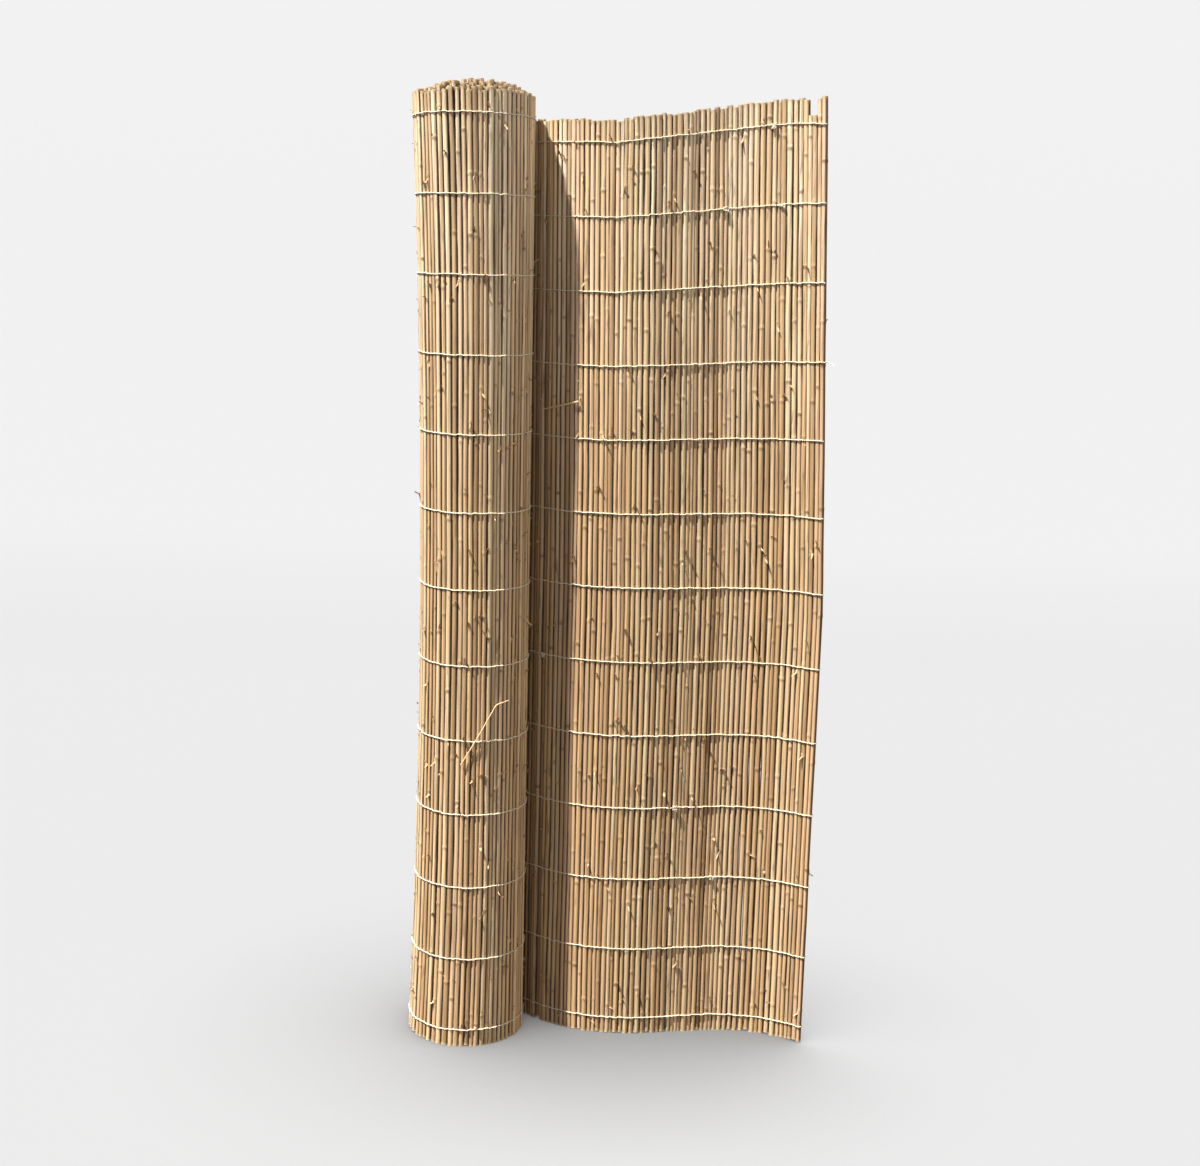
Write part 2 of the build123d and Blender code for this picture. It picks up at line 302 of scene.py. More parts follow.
class FenceSettings(bpy.types.PropertyGroup):
    """All settings of the fence."""
    mat: PointerProperty(type=MatSettings, name="Mat", description="Plan of the mat")
    reed: PointerProperty(type=ReedSettings, name="Reeds", description="Shape and colour of the reeds")
    twine: PointerProperty(type=TwineSettings, name="Twine", description="Rows of twine")
    stand: PointerProperty(type=StandSettings, name="Stand", description="How the mat stands")
    stage: PointerProperty(type=StageSettings, name="Stage", description="Camera, light and floor")


def fence():
    """The scene's settings."""
    return bpy.context.scene.reed_fence


class MatPlan:
    """Plan of the mat: an inward spiral, and the bent runs that leave it. Places are counted outwards
    along the mat from where it leaves the roll, so what is still rolled up has a minus sign."""

    def __init__(self):
        mat = fence().mat
        self.radius = mat.core_radius + mat.turn_count * mat.turn_pitch
        self.rate = mat.turn_pitch / math.tau
        self.leave = mat.leave_angle
        self.run = mat.run_length
        self.bends = tuple(mat.run_bends)
        self.turns = mat.turn_count
        self.free = self.run * len(self.bends)
        self.outer_turn = self.wound(math.tau)
        self.rolled = self.wound(math.tau * mat.turn_count)
        self.pitch = mat.reed_pitch

    def wound(self, turn):
        """Length of mat taken up by this angle of the roll."""
        return self.radius * turn - self.rate * turn ** 2 / 2

    def on_roll(self, turn):
        """Place and outward direction at an angle wound onto the roll."""
        back = Vector((math.cos(self.leave + turn), math.sin(self.leave + turn), 0))
        return ROLL_AXIS + back * (self.radius - self.rate * turn), back

    def at(self, out):
        """Place and backward direction of the middle of the mat."""
        if out < 0:
            left = math.sqrt(self.radius ** 2 + 2 * self.rate * out)
            return self.on_roll((self.radius - left) / self.rate)
        place, _ = self.on_roll(0)
        heading = self.leave - math.pi / 2
        for bend in self.bends:
            span = min(max(out, 0), self.run)
            half = bend * span / self.run / 2
            chord = span * (math.sin(half) / half if half else 1)
            place = place + Vector((math.cos(heading + half), math.sin(heading + half), 0)) * chord
            heading += 2 * half
            out -= self.run
        return place, Vector((-math.sin(heading), math.cos(heading), 0))

    def reeds(self, start, end, seed):
        """Reeds side by side from one place to another: the place and half width of each."""
        draw = random.Random(seed)
        spread = fence().reed.width_spread
        widths = [draw.uniform(1 - spread, 1 + spread) for _ in range(round(abs(end - start) / self.pitch))]
        unit = (end - start) / sum(widths)
        edge = start
        stations = []
        for width in widths:
            stations.append((edge + unit * width / 2, abs(unit) * width / 2))
            edge += unit * width
        return stations

    def stretch(self):
        """Reeds of the unrolled stretch, from the roll to the free edge."""
        return self.reeds(0, self.free, STRETCH_SEED)

    def turn(self):
        """Reeds of the roll's outer turn, from where the mat leaves it."""
        return self.reeds(0, -self.outer_turn, TURN_SEED)

    def core(self):
        """Reeds of the inner turns."""
        return self.reeds(-self.outer_turn, -self.rolled, CORE_SEED)

    def inward(self, out):
        """How far a place on the roll lies from its outer turn, none, to its innermost, all."""
        turns = (self.radius - math.sqrt(self.radius ** 2 + 2 * self.rate * out)) / self.rate / math.tau
        return min(max((turns - 0.5) / (self.turns - 1), 0), 1)


def settle(mesh):
    """Moves an upright and level piece of the mat to where it stands: drooping, waisted and leaning."""
    stand = fence().stand
    plan = MatPlan()
    total = len(mesh.vertices)
    place = np.empty(total * 3)
    mesh.vertices.foreach_get("co", place)
    place = place.reshape(total, 3)
    out = np.empty(total)
    mesh.attributes["out"].data.foreach_get("value", out)
    height = place[:, 2].copy()

    past_hold = (out - stand.droop_hold) / (plan.free - stand.droop_hold)
    hang = np.minimum(1 - past_hold, 1 + out / stand.droop_wrap)
    rise = np.maximum(height - stand.droop_foot, 0) / (fence().mat.reed_length - stand.droop_foot)
    place[:, 2] -= stand.droop_depth * np.clip(hang, 0, 1) * rise ** stand.droop_power

    front = (ROLL_AXIS.y - place[:, 1]) / plan.radius
    upper = height / fence().mat.reed_length
    slip = (stand.front_lift * front - stand.roll_sink) * upper ** stand.sink_power
    place[:, 2] += slip * np.clip(-out / stand.droop_wrap, 0, 1)
    outer = np.clip((out - plan.free + stand.edge_reach) / stand.edge_reach, 0, 1)
    place[:, 2] -= stand.edge_sag * outer ** 2 * rise ** stand.edge_power

    spread = (height - stand.waist_height) / stand.waist_height
    widen = (stand.flare * spread ** 2 - stand.waist) / plan.radius
    shift = stand.bow - stand.bow_fall * ((height - stand.bow_height) / stand.waist_height) ** 2
    leave, _ = plan.at(0)
    rolled = out <= 0
    from_x = np.where(rolled, place[:, 0], leave.x) - ROLL_AXIS.x
    from_y = np.where(rolled, place[:, 1], leave.y) - ROLL_AXIS.y
    edge = -stand.lean * np.maximum(height - stand.droop_foot, 0)
    part = np.clip(out / plan.free, 0, 1)
    place[:, 0] += (1 - part) * (shift + from_x * widen) + part * edge
    place[:, 1] += (1 - part) * from_y * widen
    mesh.vertices.foreach_set("co", place.ravel())
    mesh.update()


class Wire:
    """An output socket of a node tree, so that sums on it are written as Python."""

    def __init__(self, bench, socket):
        self.bench = bench
        self.socket = socket

    def math(self, operation, *values):
        return self.bench.math(operation, self, *values)

    def __add__(self, other):
        return self.math("ADD", other)

    def __radd__(self, other):
        return self.math("ADD", other)

    def __sub__(self, other):
        return self.math("SUBTRACT", other)

    def __rsub__(self, other):
        return self.bench.math("SUBTRACT", other, self)

    def __mul__(self, other):
        return self.math("MULTIPLY", other)

    def __rmul__(self, other):
        return self.math("MULTIPLY", other)

    def __truediv__(self, other):
        return self.math("DIVIDE", other)

    def __pow__(self, other):
        return self.math("POWER", other)

    def __gt__(self, other):
        return self.math("GREATER_THAN", other)

    def __lt__(self, other):
        return self.math("LESS_THAN", other)

    def floor(self):
        return self.math("FLOOR")

    def clamped(self):
        return self.math("MINIMUM", 1).math("MAXIMUM", 0)

    def rise(self, start, gain):
        """None up to a start, and from there a climb to all."""
        return ((self - start) * gain).clamped()

    def within(self, first, last):
        """Whether a whole number lies between two others."""
        return (self > first - 0.5) * (self < last + 0.5)


class Bench:
    """A node tree in the making."""

    def __init__(self, tree):
        self.tree = tree

    def node(self, kind, settings=None, sockets=None, output=0):
        """Adds a node, with its settings first, and then the values or links of its sockets."""
        made = self.tree.nodes.new(kind)
        for name, value in (settings or {}).items():
            if name == "stops":
                ramp = made.color_ramp.elements
                while len(ramp) < len(value):
                    ramp.new(1)
                for element, (position, shade) in zip(ramp, value):
                    element.position = position
                    element.color = (*shade, 1)
            else:
                setattr(made, name, value)
        for name, value in (sockets or {}).items():
            socket = self.find(made.inputs, name)
            if isinstance(value, Wire):
                self.tree.links.new(value.socket, socket)
            else:
                socket.default_value = value
        return Wire(self, self.find(made.outputs, output))

    @staticmethod
    def find(sockets, name):
        """A socket by its number, or the one in use by its name."""
        if isinstance(name, int):
            return sockets[name]
        return next(socket for socket in sockets if socket.name == name and socket.enabled)

    def math(self, operation, *values):
        return self.node("ShaderNodeMath", {"operation": operation}, dict(enumerate(values)))

    def vector(self, operation, *values):
        return self.node("ShaderNodeVectorMath", {"operation": operation}, dict(enumerate(values)))

    def dot(self, first, second):
        return self.node("ShaderNodeVectorMath", {"operation": "DOT_PRODUCT"}, {0: first, 1: second}, "Value")

    def scaled(self, vector, amount):
        return self.node("ShaderNodeVectorMath", {"operation": "SCALE"}, {0: vector, "Scale": amount})

    def joined(self, x, y, z):
        return self.node("ShaderNodeCombineXYZ", None, {0: x, 1: y, 2: z})

    def part(self, vector, axis):
        return self.node("ShaderNodeSeparateXYZ", None, {0: vector}, axis)


class GrowTree(Bench):
    """A geometry tree with named inputs."""
    KINDS = {float: "NodeSocketFloat", int: "NodeSocketInt", type(None): "NodeSocketMaterial"}

    def __init__(self, name, **inputs):
        super().__init__(bpy.data.node_groups.new(name, "GeometryNodeTree"))
        face = self.tree.interface
        face.new_socket("Geometry", in_out="INPUT", socket_type="NodeSocketGeometry")
        for key, value in inputs.items():
            socket = face.new_socket(key, in_out="INPUT", socket_type=self.KINDS[type(value)])
            if value is not None:
                socket.default_value = value
        face.new_socket("Geometry", in_out="OUTPUT", socket_type="NodeSocketGeometry")
        self.source = self.tree.nodes.new("NodeGroupInput")

    def __getitem__(self, name):
        return Wire(self, self.source.outputs[name])

    def draw(self, number, what, low=0.0, high=1.0):
        """A draw of its own for each whole number."""
        sockets = {"Min": low, "Max": high, "ID": number, "Seed": SEEDS[what]}
        return self.node("FunctionNodeRandomValue", None, sockets, "Value")

    def named(self, field, kind="FLOAT"):
        """What the points hold under a name."""
        return self.node("GeometryNodeInputNamedAttribute", {"data_type": kind}, {"Name": field})

    def sampled(self, field, number, kind="FLOAT"):
        """What the station with this number holds."""
        value = self.node("GeometryNodeInputPosition") if field == "position" else self.named(field, kind)
        sockets = {"Geometry": self["Geometry"], "Value": value, "Index": number}
        return self.node("GeometryNodeSampleIndex", {"data_type": kind}, sockets)

    def kept(self, geometry, field, value, kind="FLOAT"):
        """Stores a value on the points under a name."""
        settings = {"data_type": kind, "domain": "POINT"}
        sockets = {"Geometry": geometry, "Name": field, "Value": value}
        return self.node("GeometryNodeStoreNamedAttribute", settings, sockets)

    def moved(self, geometry, spot):
        """Points moved to where they belong."""
        return self.node("GeometryNodeSetPosition", None, {"Geometry": geometry, "Position": spot})

    def ring(self):
        """Section of a tube."""
        sockets = {"Resolution": self["Sides"], "Radius": 1.0}
        return self.node("GeometryNodeCurvePrimitiveCircle", None, sockets)

    def tube(self, lines, thickness, ring):
        """A closed tube along each line, as thick as its points hold under a name."""
        sockets = {"Curve": lines, "Profile Curve": ring, "Scale": self.named(thickness), "Fill Caps": True}
        return self.node("GeometryNodeCurveToMesh", None, sockets)

    def station_count(self):
        sockets = {"Geometry": self["Geometry"]}
        return self.node("GeometryNodeAttributeDomainSize", {"component": "MESH"}, sockets, "Point Count")

    def output(self, geometry):
        """Ends the tree: plain geometry with its material."""
        real = self.node("GeometryNodeRealizeInstances", None, {"Geometry": geometry})
        smooth = self.node("GeometryNodeSetShadeSmooth", None, {"Geometry": real})
        done = self.node("GeometryNodeSetMaterial", None, {"Geometry": smooth, "Material": self["Material"]})
        sink = self.tree.nodes.new("NodeGroupOutput")
        self.tree.links.new(done.socket, sink.inputs[0])
        return self.tree


def joint_height(tree, reed, joint, reed_length):
    """Height of a reed's leaf joint: evenly spread ones, each moved by a draw of its own."""
    move = tree.draw(reed * DRAWS_PER_REED + joint, "joint height", -1.0) * tree["Joint jitter"]
    return ((joint + 0.5 + move) / tree["Joints"]).clamped() * reed_length


def cut_length(tree, reed):
    """Length of a reed from the ground to its tip."""
    return tree["Reed length"] - tree["Uneven tips"] * tree.draw(reed, "tip") - tree.sampled("short", reed)


def reed_noise(tree, reed, height, cells, output):
    """Noise along a reed and from one reed to the next."""
    along, across = cells
    sockets = {"Vector": tree.joined(height * along, reed * across, 0.0), "Scale": 1.0}
    return tree.node("ShaderNodeTexNoise", {"noise_dimensions": "2D"}, sockets, output)


def reed_place(tree, reed, height):
    """Middle of a reed at a height. It strays between the rows of twine, which hold it."""
    rows = row_heights()
    stray = reed_noise(tree, reed, height, STRAY_CELLS, "Color")
    sway = reed_noise(tree, reed, height, SWAY_CELLS, "Fac")
    slack = ((height - rows[0]) * (math.pi / (rows[1] - rows[0]))).math("SINE") ** 2 * tree["Stray"]
    back = tree.sampled("back", reed, "FLOAT_VECTOR")
    side = tree.vector("CROSS_PRODUCT", back, UP)
    sideways = (tree.part(stray, 0) - 0.5) * slack * 2 + (sway - 0.5) * tree["Sway"] * 2
    outwards = (tree.part(stray, 1) - 0.5) * slack + tree.draw(reed, "proud", -1.0) * tree["Proud"]
    moved = tree.vector("ADD", tree.scaled(side, sideways), tree.scaled(back, outwards))
    foot = tree.sampled("position", reed, "FLOAT_VECTOR")
    lifted = tree.vector("ADD", foot, tree.joined(0.0, 0.0, height))
    return tree.vector("ADD", lifted, moved)


def reed_tree():
    """Reeds on stations: each has joints at heights of its own, a taper, stray and uneven ends."""
    tree = GrowTree("Reeds", **reed_values(None))
    rings = tree["Joints"] * RINGS_PER_JOINT + 2 * END_RINGS
    points = tree.node("GeometryNodePoints", None, {"Count": tree.station_count() * rings})
    index = tree.node("GeometryNodeInputIndex")
    reed = ((index + 0.5) / rings).floor()
    ring = index - reed * rings
    joint = ((ring - (END_RINGS - 0.5)) / RINGS_PER_JOINT).floor()
    step = ring - END_RINGS - joint * RINGS_PER_JOINT

    full = cut_length(tree, reed)
    lower = joint_height(tree, reed, joint, full)
    upper = joint_height(tree, reed, joint + 1, full).math("MINIMUM", full - tree["End length"])
    near = lower + step * JOINT_RING_STEP - JOINT_REACH
    way = (step - (RINGS_AT_JOINT - 1)) / (RINGS_PER_JOINT - RINGS_AT_JOINT + 1)
    between = lower + JOINT_REACH + (upper - lower - 2 * JOINT_REACH) * way
    inner = between + step.within(0, RINGS_AT_JOINT - 1) * (near - between)
    feet = tree["Uneven feet"] * tree.draw(reed, "foot") ** 3
    at_foot = feet + ring * tree["End length"]
    at_tip = full - (rings - 1 - ring) * tree["End length"]
    lowest = ring < END_RINGS - 0.5
    topmost = ring > rings - (END_RINGS + 0.5)
    height = inner + lowest * (at_foot - inner) + topmost * (at_tip - inner)
    # Marks both end rings, where the finish paints a highlight
    end_highlight = (ring < 0.5) + (ring > rings - 1.5)

    marked = step.within(*SWOLLEN_RINGS) * (1 - lowest) * (1 - topmost)
    own_joint = reed * DRAWS_PER_REED + joint
    internode = own_joint + (step > SWOLLEN_RINGS[0] + 0.5)
    slope = (tree.draw(reed, "taper") > 0.5) * 2 - 1
    thick = tree.sampled("half", reed) * (1 + slope * tree["Taper"] * (height / full - 0.5))
    thick = thick * tree.draw(internode, "joint girth", *JOINT_GIRTHS) * (1 + marked * tree["Swell"])

    points = tree.moved(points, reed_place(tree, reed, height))
    held = {
        "girth": thick, "tone": tree.draw(reed, "tone"), "joint_tone": tree.draw(internode, "joint tone"),
        "joint_mark": marked * tree.draw(own_joint, "joint mark"), "end": end_highlight,
        "out": tree.sampled("out", reed),
    }
    for field, value in held.items():
        points = tree.kept(points, field, value)
    points = tree.kept(points, "back", tree.sampled("back", reed, "FLOAT_VECTOR"), "FLOAT_VECTOR")
    sockets = {"Points": points, "Curve Group ID": reed, "Weight": ring}
    lines = tree.node("GeometryNodePointsToCurves", None, sockets)
    canes = tree.tube(lines, "girth", tree.ring())
    # How far each face turns away from the mat's front; the finish paints shade from it into the valleys
    back = tree.named("back", "FLOAT_VECTOR")
    facing = tree.dot(tree.node("GeometryNodeInputNormal"), back).math("ABSOLUTE")
    return tree.output(tree.kept(canes, "flank", 1 - facing))


def husk_tree():
    """Scraps of leaf husk at some joints of the reeds, curling away from them."""
    tree = GrowTree("Husks", **reed_values(None))
    points = tree.node("GeometryNodePoints", None, {"Count": tree.station_count() * tree["Joints"]})
    index = tree.node("GeometryNodeInputIndex")
    reed = ((index + 0.5) / tree["Joints"]).floor()
    height = joint_height(tree, reed, index - reed * tree["Joints"], cut_length(tree, reed))

    back = tree.sampled("back", reed, "FLOAT_VECTOR")
    side = tree.vector("CROSS_PRODUCT", back, UP)
    face = 1 - (tree.draw(index, "husk face") > HUSK_BACK_SHARE) * tree["Both faces"] * 2
    around = tree.draw(index, "husk place", -HUSK_AROUND, HUSK_AROUND)
    ahead = tree.scaled(back, around.math("COSINE") * face)
    outward = tree.vector("ADD", ahead, tree.scaled(side, around.math("SINE")))
    seat = tree.scaled(outward, tree.sampled("half", reed) * HUSK_SEAT)
    points = tree.moved(points, tree.vector("ADD", reed_place(tree, reed, height), seat))
    points = tree.kept(points, "out", tree.sampled("out", reed))
    points = tree.kept(points, "tone", tree.draw(index, "husk tone"))

    sockets = {"Size X": 1.0, "Size Y": 1.0, "Vertices X": HUSK_GRID[0], "Vertices Y": HUSK_GRID[1]}
    sheet = tree.node("GeometryNodeMeshGrid", None, sockets, "Mesh")
    flat = tree.node("GeometryNodeInputPosition")
    across = tree.part(flat, 0)
    along = tree.part(flat, 1) + 0.5
    narrow = 1 - along ** 2 * HUSK_NARROWING
    ripple = (along * HUSK_RIPPLES).math("SINE") * HUSK_RIPPLE
    curl = along ** 2 * HUSK_LIFT - across * across * HUSK_CUP + ripple
    sheet = tree.moved(sheet, tree.joined(across * narrow, along, curl))

    upright = tree.node("FunctionNodeAxesToRotation", {"primary_axis": "Z", "secondary_axis": "Y"},
                        {"Primary Axis": outward, "Secondary Axis": UP})
    tilt = tree.draw(index, "husk tilt", -HUSK_TILT, HUSK_TILT)
    flip = (tree.draw(index, "husk flip") > HUSK_UP_SHARE) * math.pi
    spin = tree.draw(index, "husk spin", -HUSK_SPIN, HUSK_SPIN) + flip
    turn = tree.node("FunctionNodeEulerToRotation", None, {"Euler": tree.joined(tilt, 0.0, spin)})
    facing = tree.node("FunctionNodeRotateRotation", {"rotation_space": "LOCAL"},
                       {"Rotation": upright, "Rotate By": turn})
    long = tree.draw(index, "husk length", *HUSK_LENGTHS) ** HUSK_SHORTNESS * tree["Husk length"]
    wide = tree.draw(index, "husk width", *HUSK_WIDTHS) * tree["Husk width"]
    curled = tree.draw(index, "husk curl", *HUSK_CURLS) * tree["Husk width"]
    return tree.output(tree.node("GeometryNodeInstanceOnPoints", None, {
        "Points": points, "Selection": tree.draw(index, "husk kept") < tree["Share"],
        "Instance": sheet, "Rotation": facing, "Scale": tree.joined(wide, long, curled)}))


def strand_tree():
    """A strand along a line of points: twine, a loose end or a straw."""
    tree = GrowTree("Strand", **strand_values(None))
    line = tree.node("GeometryNodeMeshToCurve", None, {"Mesh": tree["Geometry"]})
    line = tree.node("GeometryNodeCurveSplineType", {"spline_type": "CATMULL_ROM"}, {"Curve": line})
    sockets = {"Geometry": line, "Resolution": tree["Steps"]}
    line = tree.node("GeometryNodeSetSplineResolution", None, sockets)
    run = tree.node("GeometryNodeSplineParameter", None, None, "Length")
    way = tree.node("GeometryNodeSplineParameter", None, None, "Factor")
    sockets = {"Vector": tree.joined(run * STRAND_CELLS, 0.0, 0.0), "Scale": 1.0}
    noise = tree.node("ShaderNodeTexNoise", {"noise_dimensions": "3D"}, sockets, "Fac")
    uneven = 1 + (noise - 0.5) * 2 * tree["Unevenness"]
    line = tree.kept(line, "thick", tree["Radius"] * uneven * (1 - way * tree["Taper"]))
    line = tree.kept(line, "run", run)
    ring = tree.kept(tree.ring(), "round", tree.node("GeometryNodeInputPosition"), "FLOAT_VECTOR")
    return tree.output(tree.tube(line, "thick", ring))


def row_heights():
    """Heights of the rows of twine before they droop, from the ground up."""
    twine = fence().twine
    top = fence().mat.reed_length - twine.row_head
    gaps = len(TWINE_NODES) - 1
    return [twine.row_foot + (top - twine.row_foot) * row / gaps for row in range(gaps + 1)]


def point_mesh(name, points, edges=(), **fields):
    """A mesh of bare points, with named values on them."""
    mesh = bpy.data.meshes.new(name)
    mesh.from_pydata(points, edges, [])
    for field, values in fields.items():
        if isinstance(values[0], Vector):
            layer = mesh.attributes.new(field, "FLOAT_VECTOR", "POINT")
            layer.data.foreach_set("vector", [part for value in values for part in value])
        else:
            layer = mesh.attributes.new(field, "FLOAT", "POINT")
            layer.data.foreach_set("value", values)
    return mesh


def girth(half):
    """Half thickness of a reed that takes up this half width of the mat."""
    reed = fence().reed
    mean = fence().mat.reed_pitch / 2
    return (mean + (half - mean) * reed.girth_follow) * (1 + reed.crowding)


def station_mesh(name, plan, stations, shorter=lambda out, half: 0.0):
    """Points where reeds stand, with the half thickness and back of each, and how much shorter it is."""
    spots = [plan.at(out) for out, _ in stations]
    return point_mesh(
        name, [place for place, _ in spots],
        half=[girth(half) for _, half in stations],
        out=[out for out, _ in stations],
        back=[back for _, back in spots],
        short=[shorter(*station) for station in stations])


def tip_loss(out, half):
    """How much shorter a reed of the stretch is: some tips are broken, and the free edge has long ones."""
    reed, stand = fence().reed, fence().stand
    outer = max(0.0, 1 - (MatPlan().free - out) / stand.edge_reach)
    broken = reed.broken_drop if abs(out - reed.broken_out) <= reed.broken_width / 2 else 0.0
    return broken - reed.edge_over * outer ** 2


def grow(name, mesh, tree, values):
    """Runs a tree on a mesh and keeps the result as a plain, settled object."""
    piece = bpy.data.objects.new(name, mesh)
    bpy.context.scene.collection.objects.link(piece)
    modifier = piece.modifiers.new("Grow", "NODES")
    modifier.node_group = tree
    for item in tree.interface.items_tree:
        if item.in_out == "INPUT" and item.name in values:
            modifier[item.identifier] = values[item.name]
    graph = bpy.context.evaluated_depsgraph_get()
    grown = bpy.data.meshes.new_from_object(piece.evaluated_get(graph))
    piece.modifiers.remove(modifier)
    piece.data = grown
    grown.name = name
    if not grown.polygons:
        raise RuntimeError(f"{name} came out empty")
    settle(grown)
    return piece


def hollow_ends(mesh):
    """Cuts the pith out of the reeds' ends, and marks what the cut shows: 1 the wall, 2 the hollow."""
    reed = fence().reed
    work = bmesh.new()
    work.from_mesh(mesh)
    bmesh.ops.recalc_face_normals(work, faces=work.faces)
    cut = work.faces.layers.float.new("cut")
    caps = [face for face in work.faces if len(face.verts) > 4]
    rims = bmesh.ops.inset_individual(work, faces=caps, thickness=reed.wall, use_even_offset=True)["faces"]
    for face in rims:
        face[cut] = 1
    walls = bmesh.ops.inset_individual(
        work, faces=caps, thickness=reed.wall / HOLLOW_NARROWING, depth=-reed.hollow,
        use_even_offset=True)["faces"]
    for face in walls + caps:
        face[cut] = 2
    work.to_mesh(mesh)
    work.free()
    mesh.set_sharp_from_angle(angle=CUT_EDGE)


def place_piece(piece, slot, *nodes):
    """Says what a finished piece rides on, and hides the solids that it stands for."""
    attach(piece, "root")
    if nodes:
        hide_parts(*nodes)


def strand_piece(name, lines, values, slot, *nodes):
    """Makes a piece of strands. Each line has its points and their places along the mat."""
    points, outs, links = [], [], []
    for line, places in lines:
        links += [(spot, spot + 1) for spot in range(len(points), len(points) + len(line) - 1)]
        points += line
        outs += places
    mesh = point_mesh(name, points, links, out=outs)
    place_piece(grow(name, mesh, shared("Strand", strand_tree), values), slot, *nodes)


class Finish(Bench):
    """A material in the making, on the principled shader."""

    def __init__(self, name):
        self.material = bpy.data.materials.new(name)
        self.material.use_nodes = True
        super().__init__(self.material.node_tree)
        self.shader = self.tree.nodes["Principled BSDF"]

    def attribute(self, name, output="Fac"):
        return self.node("ShaderNodeAttribute", {"attribute_name": name}, None, output)

    def spot(self):
        """The object's own coordinates."""
        return self.node("ShaderNodeTexCoord", None, None, "Object")

    def noise(self, name, detail=2.0):
        """Noise on the object's own coordinates."""
        spot = self.node("ShaderNodeMapping", None, {"Vector": self.spot(), "Scale": CELLS[name]})
        return self.node("ShaderNodeTexNoise", None, {"Vector": spot, "Scale": 1.0, "Detail": detail}, "Fac")

    def mix(self, amount, first, second, blend="MIX"):
        """Passes from one colour to another."""
        first, second = (
            shade if isinstance(shade, Wire) else (*shade, 1) for shade in (first, second))
        sockets = {"Factor": amount, "A": first, "B": second}
        return self.node("ShaderNodeMix", {"data_type": "RGBA", "blend_type": blend}, sockets, "Result")

    def shade(self, sockets):
        """Sets or links the shader's sockets."""
        for name, value in sockets.items():
            socket = self.shader.inputs[name]
            if isinstance(value, Wire):
                self.tree.links.new(value.socket, socket)
            else:
                socket.default_value = value
        return self.material

    def bump(self, height, strength, distance):
        sockets = {"Height": height, "Strength": strength, "Distance": distance}
        return self.node("ShaderNodeBump", None, sockets)


def reed_colours(finish, shade):
    """The reeds' colour for a number from 0 to 1."""
    stops = [(place, getattr(fence().reed, name)) for place, name in REED_TONES]
    return finish.node("ShaderNodeValToRGB", {"stops": stops}, {"Fac": shade}, "Color")


def reed_finish():
    """Peeled reed: each its own tone, with fibres, stains, dark joint rings and pale cut ends; with painted
    shade in the valleys between reeds and in the hollow ends, and a painted highlight near both ends.
    """
    finish = Finish("Peeled reed")
    reed = fence().reed
    fibre = finish.noise("fibre", detail=3.0)
    blotch = finish.noise("blotch", detail=4.0)
    streak = fibre.rise(start=0.44, gain=3)
    split = finish.noise("split").rise(start=0.48, gain=7)
    stain = blotch.rise(start=0.6, gain=9)
    # Painted shade between the reeds: darker as a face turns from the front into the valley, and darker still
    # in patches that stand for gaps
    slit = finish.noise("slit").rise(start=0.54, gain=9)
    valley = finish.attribute("flank").rise(start=0.12, gain=3.3 + slit * 2.7)
    bleach = finish.part(finish.spot(), 2).rise(start=0.9, gain=2.2)
    cut = finish.attribute("cut")
    tone = finish.attribute("tone") * (1 - JOINT_TONE) + finish.attribute("joint_tone") * JOINT_TONE
    tone = tone + (finish.noise("cloud") - 0.5) * CLOUD_TONE

    base = reed_colours(finish, tone.clamped())
    base = finish.mix(streak * MARKS["streak"], base, reed.tan)
    base = finish.mix(split * MARKS["split"], base, reed.brown)
    base = finish.mix(stain * MARKS["stain"], base, reed.brown)
    base = finish.mix(finish.attribute("joint_mark") * MARKS["joint"], base, reed.brown)
    base = finish.mix(bleach, base, reed.bleached, "MULTIPLY")
    # Painted shade in the valleys and gaps between reeds
    base = finish.mix(valley ** 1.15 * (MARKS["valley"] + slit * MARKS["slit"]), base, reed.painted_shade)
    # Painted highlight near both ends of each reed
    base = finish.mix(finish.attribute("end") ** 2 * MARKS["tip"], base, reed.cream)
    base = finish.mix(cut.clamped() * MARKS["cut"], base, reed.cream)
    # Painted shade in the hollow of a cut end
    base = finish.mix((cut - 1).clamped() * MARKS["pith"], base, reed.painted_shade)
    rough = 0.46 + streak * 0.16 + stain * 0.15
    relief = finish.bump(fibre + blotch * 0.4, strength=0.5, distance=0.0006)
    return finish.shade({"Base Color": base, "Roughness": rough, "Normal": relief})


def husk_finish():
    """Dry leaf husk: papery, pale to brown, with veins along it."""
    finish = Finish("Leaf husk")
    reed = fence().reed
    vein = finish.noise("vein", detail=3.0)
    base = finish.mix(finish.attribute("tone") * 0.8, reed.straw, reed.brown)
    base = finish.mix(vein.rise(start=0.45, gain=3) * 0.35, base, reed.brown)
    relief = finish.bump(vein, strength=0.4, distance=0.0005)
    return finish.shade({"Base Color": base, "Roughness": 0.7 - vein * 0.2, "Normal": relief})


def straw_finish():
    """Split straw: pale and smooth, with fine fibres along it."""
    finish = Finish("Split straw")
    reed = fence().reed
    fibre = finish.noise("straw", detail=3.0)
    base = finish.mix(fibre.rise(start=0.4, gain=2.5), reed.cream, reed.straw)
    relief = finish.bump(fibre, strength=0.4, distance=0.0004)
    return finish.shade({"Base Color": base, "Roughness": 0.42 + fibre * 0.2, "Normal": relief})


